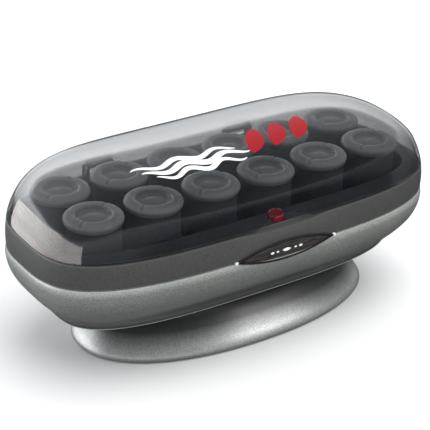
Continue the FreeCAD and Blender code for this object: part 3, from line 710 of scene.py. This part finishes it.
def make_band():
    """The grey band between the seams, with its rim top and an inward ledge for the tray."""
    a, b, n = SEAM_OVAL
    ar, br, nr = RIM_OVAL
    middle_z, share = BAND_MIDDLE
    stations = [(SEAM_Z, a - SEAM_INSET, b - SEAM_INSET, n),
                (middle_z, a + (ar - a) * share, b + (br - b) * share, n + (nr - n) * share),
                (RIM_Z, ar, br, nr)]
    fits = [np.polyfit([s[0] for s in stations], [s[k] for s in stations], 2) for k in (1, 2, 3)]
    angles = even_angles(SEAM_OVAL, 420)
    section = [(SEAM_Z + 3.0, WALL), (SEAM_Z, WALL), (SEAM_Z, 0.45), (SEAM_Z + 0.14, 0.12)]
    section += [(z, 0.0) for z in np.linspace(SEAM_Z + 0.5, RIM_Z - 0.6, 14)]
    section += [(RIM_Z - 0.2, 0.12), (RIM_Z, 0.55), (RIM_Z, 1.6), (RIM_Z, 2.6), (RIM_Z, SCOOP_REACH),
                (RIM_Z, 4.0), (RIM_Z - LEDGE_TOP, 4.05), (RIM_Z - LEDGE_TOP, LEDGE_REACH),
                (RIM_Z - LEDGE_UNDER, LEDGE_REACH), (RIM_Z - LEDGE_UNDER, WALL + 1)]
    verts = []
    for z, inset in section:
        half_x, half_y, square = (np.polyval(f, z) for f in fits)
        for x, y, _ in oval_ring(half_x - inset, half_y - inset, square, z, angles):
            fade = min(1.0, max(0.0, (z - RIM_Z + SCOOP_FADE) / SCOOP_FADE))
            drop = scoop_drop(x, inset) * fade if y < 0 and inset < SCOOP_REACH + 0.01 else 0.0
            verts.append((x, y, z - drop))
    band = piece("case_band", verts, ring_faces(len(section), len(angles), True), "base", "rim_grey",
                 replaces=("upper_casing",))
    sharp_by_angle(band)


def make_hinge_ears():
    """The case's four rounded lugs that hold the hinge pins, two to a hinge."""
    pin_z = middle("hinge_pins").z
    pin_y = middle("hinge_pins").y
    half_turn = np.linspace(0, math.pi, 19)
    outline = [(pin_y - EAR_R, EAR_FOOT_Z)]
    outline += [(pin_y - EAR_R * math.cos(t), pin_z + EAR_R * math.sin(t)) for t in half_turn]
    outline += [(pin_y + EAR_R, EAR_FOOT_Z + 5.0), (pin_y + EAR_R - 1.6, EAR_FOOT_Z)]
    size = len(outline)
    for number, (hx, side) in enumerate([(h, s) for h in HINGE_XS for s in (-1, 1)], 1):
        x0 = hx + side * HALF_ARM
        verts = [(x, y, z) for x in (x0, x0 + side * EAR_THICK) for y, z in outline]
        faces = [tuple(range(size)), tuple(reversed(range(size, 2 * size)))]
        faces += [(k, (k + 1) % size, size + (k + 1) % size, size + k) for k in range(size)]
        ear = piece("hinge_ear_%d" % number, verts, faces, "base", "rim_grey")
        bevel(sharp_by_angle(ear), 0.4)


def make_bowl():
    """The case's lower half, which steps in at the seam and has a floor at the neck."""
    outer = [tuple(p) for p in curve_through(BOWL, 5)]
    lip_z, lip_inset = SEAM_Z - 0.02, SEAM_INSET + 0.9
    lip = [(lip_z, WALL + 1.7), (lip_z, lip_inset), (BOWL[0][0] - 0.05, lip_inset)]
    floor = [(NECK_Z, NECK_INSET), (NECK_Z + NECK_FLOOR, NECK_INSET)]
    inner = [(z, i + WALL) for z, i in reversed(outer) if NECK_Z + NECK_FLOOR < z < BOWL_INNER_TOP]
    section = outer + floor + inner + [(BOWL_INNER_TOP, WALL + 1.7)] + lip
    oval_shell("case_bowl", SEAM_OVAL, section, "case_silver", ("lower_casing",))


def make_plinth():
    """The flared foot, hollow below its ceiling."""
    outer = [tuple(p) for p in curve_through(PLINTH, 6)]
    inner = [(z, i + WALL) for z, i in reversed(outer) if z < PLINTH_CEILING_Z - 0.5]
    section = outer + [(NECK_Z, PLINTH_NECK_INSET), (PLINTH_CEILING_Z, PLINTH_NECK_INSET)] + inner
    oval_shell("plinth_shell", FOOT_OVAL, section, "plinth_silver", ("plinth",))


make_band()
make_hinge_ears()
make_bowl()
make_plinth()

# ---------------------------------------------------------------- rollers

# The cap as (radius, height), from the middle of its dish out over the ring and back underneath
CAP_R = 21.0
CAP_OUTLINE = [(0.0, 5.1), (3.0, 5.0), (5.6, 4.6), (7.8, 4.0), (9.4, 3.6), (10.6, 3.7), (11.5, 4.5),
               (12.1, 5.8), (12.9, 6.7), (14.4, 7.0), (16.2, 6.95), (18.0, 6.6), (19.5, 5.9), (20.5, 4.9),
               (CAP_R, 3.8), (CAP_R, 2.8), (20.8, 1.6), (20.3, 0.6), (19.6, 0.0), (17.6, 0.0),
               (17.4, 0.9), (8.0, 1.4), (0.0, 2.0)]
CAP_SEGMENTS = 112
RING_R = 12.9
RING_Z = 5.0
GRIP_AT = (math.radians(215), math.radians(35))
GRIP_HALF = 1.0
GRIP_DEPTH = 0.7
SLEEVE_R = 19.0
SLEEVE_INNER_R = 17.6
NAP_RINGS = 24
NAP_DIP = 0.12


def cap_grips(r, h, t):
    """Two shallow radial steps across the cap's ring."""
    if r < RING_R or h < RING_Z:
        return 0.0
    off = min(abs((t - g + math.pi) % TURN - math.pi) for g in GRIP_AT)
    return -GRIP_DEPTH if off * r < GRIP_HALF else 0.0


def make_rollers():
    """Each roller's cap, a ring round a domed dish, and its flocked sleeve."""
    for k in range(1, 13):
        number = "%02d" % k
        node = "roller_%s_cap" % number
        centre = middle(node)
        body = "roller_" + number
        foot = (centre.x, centre.y, low(node).z)
        turned("cap_" + number, CAP_OUTLINE, foot, body, "cap_grey", (node,), CAP_SEGMENTS, cap_grips)
        sleeve = "roller_%s_sleeve" % number
        bottom, top = low(sleeve).z, high(sleeve).z
        tall = top - bottom
        outline = [(SLEEVE_INNER_R, 0.0), (18.6, 0.0), (18.95, 0.3), (SLEEVE_R, 0.9)]
        outline += [(SLEEVE_R - NAP_DIP * (ring % 2), 0.9 + (tall - 1.8) * ring / NAP_RINGS)
                    for ring in range(1, NAP_RINGS)]
        outline += [(SLEEVE_R, tall - 0.9), (18.95, tall - 0.3), (18.6, tall), (SLEEVE_INNER_R, tall)]
        turned("flock_" + number, outline, (centre.x, centre.y, bottom), body, "roller_velvet", (sleeve,))


make_rollers()

# ---------------------------------------------------------------- lamp button and badge


LAMP_RISE = 4.2
LAMP_STEPS = 12
LAMP_SEGMENTS = 64
# Pips on the badge as (distance from its middle, half length, half height)
PIPS = ((-12.0, 1.6, 0.9), (-7.6, 1.2, 0.7), (0.0, 3.6, 1.2), (7.6, 1.2, 0.7), (12.0, 1.6, 0.9))


def make_lamp():
    """The red button's domed lens."""
    r = (high("power_button").x - low("power_button").x) / 2
    at = middle("power_button")
    tall = high("power_button").z - low("power_button").z
    ball = (r ** 2 + LAMP_RISE ** 2) / (2 * LAMP_RISE)
    outline = [(0.0, 0.0), (r - 0.3, 0.0), (r, 0.3), (r, tall - LAMP_RISE - 0.3)]
    spread = math.asin((r - 0.12) / ball)
    for k in range(LAMP_STEPS):
        t = spread * (1 - k / LAMP_STEPS)
        outline.append((ball * math.sin(t), tall - ball + ball * math.cos(t)))
    outline.append((0.0, tall))
    foot = (at.x, at.y, low("power_button").z)
    turned("lamp_lens", outline, foot, "button", "lamp_red", ("power_button",), LAMP_SEGMENTS)


def lens_outline(half, rise, count=40):
    """Points round a pointed oval, as (x, z) from its middle."""
    bow = (half ** 2 + rise ** 2) / (2 * rise)
    spread = math.asin(half / bow)
    top = [(bow * math.sin(t), bow * math.cos(t) - bow + rise) for t in np.linspace(-spread, spread, count)]
    return top + [(x, -z) for x, z in reversed(top[1:-1])]


def lens_prism(name, at, half, rise, stations, slot, replaces=(), closed=True, material=None):
    """A pointed oval swept through (inset, depth) stations; closed makes it a ring, open caps both ends."""
    verts = []
    for inset, y in stations:
        verts += [(at.x + x, y, at.z + z) for x, z in lens_outline(half - 3.2 * inset, rise - inset)]
    size = len(lens_outline(half, rise))
    faces = ring_faces(len(stations), size, closed)
    if not closed:
        last = (len(stations) - 1) * size
        faces += [tuple(reversed(range(size))), tuple(range(last, last + size))]
    sharp_by_angle(piece(name, verts, faces, "base", slot, material, replaces), 50.0)


def make_badge():
    """A silver plate in a raised black border, with a row of small bright pips on the plate."""
    at = middle("badge_bezel")
    half = (high("badge_bezel").x - low("badge_bezel").x) / 2
    rise = (high("badge_bezel").z - low("badge_bezel").z) / 2
    front, back = low("badge_bezel").y, high("badge_bezel").y
    border = [(0.0, back), (0.0, front + 0.5), (0.25, front + 0.1), (0.6, front), (1.2, front + 0.05),
              (1.55, front + 0.2), (1.7, front + 0.55), (1.7, back)]
    lens_prism("badge_border", at, half, rise, border, "badge_black", ("badge_bezel",))
    plate = [(1.75, back), (1.75, front + 0.55), (2.0, front + 0.42), (3.4, front + 0.3)]
    lens_prism("badge_face", at, half, rise, plate, "badge_silver", ("badge_plate",), closed=False)
    # The tips are painted white ink: a painted glint at each pointed end of the border
    for number, side in enumerate((-1, 1), 1):
        tip = at.copy()
        tip.x += side * (half - 1.0)
        stations = [(0.0, back), (0.0, front + 0.25), (0.2, front + 0.1)]
        lens_prism("badge_tip_%d" % number, tip, 1.6, 1.0, stations, "badge_silver", closed=False,
                   material=WHITE_INK)
    for number, (off, pip_half, pip_rise) in enumerate(PIPS, 1):
        spot = at.copy()
        spot.x += off
        stations = [(0.0, front + 0.4), (0.0, front + 0.22), (0.1, front + 0.18)]
        lens_prism("badge_pip_%d" % number, spot, pip_half, pip_rise, stations, "badge_silver", closed=False,
                   material=WHITE_INK)


make_lamp()
make_badge()

# ---------------------------------------------------------------- finishes of the CAD's own nodes

for entry in frame["record"]["subparts"]:
    node = frame["nodes"][entry["node"]]
    node.data.materials.clear()
    node.data.materials.append(MATERIALS[entry["material_slot"]])

# ---------------------------------------------------------------- floor, light and camera

AZIMUTH = math.radians(-33.6)
ELEVATION = math.radians(27.2)
ROLL = math.radians(0.9)
DISTANCE = 1096.0
TARGET_Z = 117.4
OFFSET_RIGHT = -5.2
OFFSET_UP = -38.0
SENSOR_MM = 36.0
FOCAL_MM = 127.3


def make_camera():
    """The camera at the photograph's angle, a little rolled, with its aim set off from the middle."""
    back = Vector((math.sin(AZIMUTH) * math.cos(ELEVATION), -math.cos(AZIMUTH) * math.cos(ELEVATION),
                   math.sin(ELEVATION)))
    right = (-back).cross(Vector((0, 0, 1))).normalized()
    up = right.cross(-back)
    across = right * math.cos(ROLL) + up * math.sin(ROLL)
    above = up * math.cos(ROLL) - right * math.sin(ROLL)
    data = bpy.data.cameras.new("camera")
    data.sensor_width = SENSOR_MM
    data.lens = FOCAL_MM
    camera = bpy.data.objects.new("camera", data)
    bpy.context.scene.collection.objects.link(camera)
    place = (back * DISTANCE + across * OFFSET_RIGHT + above * OFFSET_UP + Vector((0, 0, TARGET_Z))) * MM
    turn = Matrix((across, above, back)).transposed()
    camera.matrix_world = Matrix.Translation(place) @ turn.to_4x4()
    bpy.context.scene.camera = camera


def soft_light(name, place, aim, size, power, color=(1, 1, 1)):
    data = bpy.data.lights.new(name, "AREA")
    data.shape = "RECTANGLE"
    data.size, data.size_y = size
    data.energy = power
    data.color = color
    light = bpy.data.objects.new(name, data)
    bpy.context.scene.collection.objects.link(light)
    light.location = place
    light.rotation_mode = "QUATERNION"
    light.rotation_quaternion = (Vector(aim) - Vector(place)).to_track_quat("-Z", "Y")
    return light


# The walls' brightness against the sine of the height above the horizon
SKY_TONES = ((-0.2, 0.03), (-0.07, 0.42), (0.1, 0.58), (0.32, 1.0), (0.38, 0.22), (0.9, 0.07))
SKY_STRENGTH = 5.6
# Shares of that brightness, from left to right and from the room in front to the wall behind
SKY_ACROSS = (0.0, 0.95, 1.05, 0.45)
SKY_DEPTH = (-0.1, 0.5, 0.21, 1.0)
FLOOR_TONE = 0.84
WARM = (1.0, 0.95, 0.91)


def light_only(light, *names):
    """Make a light shine on the named pieces alone."""
    lit = bpy.data.collections.new("lit_by_" + light.name)
    for name in names:
        lit.objects.link(bpy.data.objects[name])
    light.light_linking.receiver_collection = lit


def make_floor():
    """A pale floor, which doesn't show in reflections."""
    reach = 6.0
    corners = [(-reach, -reach, 0), (reach, -reach, 0), (reach, reach, 0), (-reach, reach, 0)]
    mesh = bpy.data.meshes.new("floor")
    mesh.from_pydata(corners, [], [(0, 1, 2, 3)])
    floor = bpy.data.objects.new("floor", mesh)
    bpy.context.scene.collection.objects.link(floor)
    s = Shader("floor_white", (FLOOR_TONE,) * 3, 0.9, 0.0, 0.1)
    s.color(s.ramp(s.noise(3.0), (0.3, (FLOOR_TONE - 0.01,) * 3), (0.7, (FLOOR_TONE + 0.01,) * 3)))
    floor.data.materials.append(s.done())
    floor.visible_glossy = False
    floor.visible_shadow = False


def make_world():
    """The studio's walls: a band of soft light round the horizon, strongest behind the object."""
    world = bpy.data.worlds.new("studio")
    world.use_nodes = True
    nodes, links = world.node_tree.nodes, world.node_tree.links
    coords = nodes.new("ShaderNodeTexCoord")
    parts = nodes.new("ShaderNodeSeparateXYZ")
    links.new(coords.outputs["Generated"], parts.inputs[0])
    total = nodes.new("ShaderNodeValue")
    total.outputs[0].default_value = SKY_STRENGTH
    strength = total.outputs[0]
    for axis, ends in (("X", SKY_ACROSS), ("Y", SKY_DEPTH)):
        share = nodes.new("ShaderNodeMapRange")
        links.new(parts.outputs[axis], share.inputs["Value"])
        for key, value in zip(RANGE_ENDS, ends):
            share.inputs[key].default_value = value
        power = nodes.new("ShaderNodeMath")
        power.operation = "MULTIPLY"
        links.new(share.outputs["Result"], power.inputs[0])
        links.new(strength, power.inputs[1])
        strength = power.outputs[0]
    links.new(strength, nodes["Background"].inputs["Strength"])
    height = nodes.new("ShaderNodeMapRange")
    height.inputs["From Min"].default_value = -1.0
    links.new(parts.outputs["Z"], height.inputs["Value"])
    sky = nodes.new("ShaderNodeValToRGB")
    links.new(height.outputs["Result"], sky.inputs["Fac"])
    while len(sky.color_ramp.elements) < len(SKY_TONES):
        sky.color_ramp.elements.new(0.5)
    for element, (at, tone) in zip(sky.color_ramp.elements, SKY_TONES):
        element.position = (at + 1.0) / 2
        element.color = (0.95 * tone, 0.98 * tone, tone, 1)
    links.new(sky.outputs["Color"], nodes["Background"].inputs["Color"])
    bpy.context.scene.world = world


def make_lights():
    """A broad light overhead, and two panels that are seen only in the lid or in the plinth and the bowl."""
    overhead = soft_light("overhead", (0.5, -0.5, 2.1), (0, 0, 0), (3.0, 3.0), 84.0)
    overhead.visible_glossy = False
    overhead.visible_camera = False
    left_y, left_z = 0.36, -0.175
    left_box = soft_light("left_box", (-0.55, left_y, left_z), (0, left_y, left_z), (1.5, 0.85), 24.0, WARM)
    light_only(left_box, "lid_dome")
    front_box = soft_light("front_box", (0.75, -1.05, 0.85), (0, -0.05, 0.05), (0.55, 0.5), 7.0)
    light_only(front_box, "plinth_shell", "case_bowl")
    for panel in (left_box, front_box):
        panel.visible_diffuse = False
        panel.visible_camera = False
        panel.data.cycles.max_bounces = 0


make_camera()
make_floor()
make_world()
make_lights()
bpy.context.scene.view_settings.view_transform = "Standard"
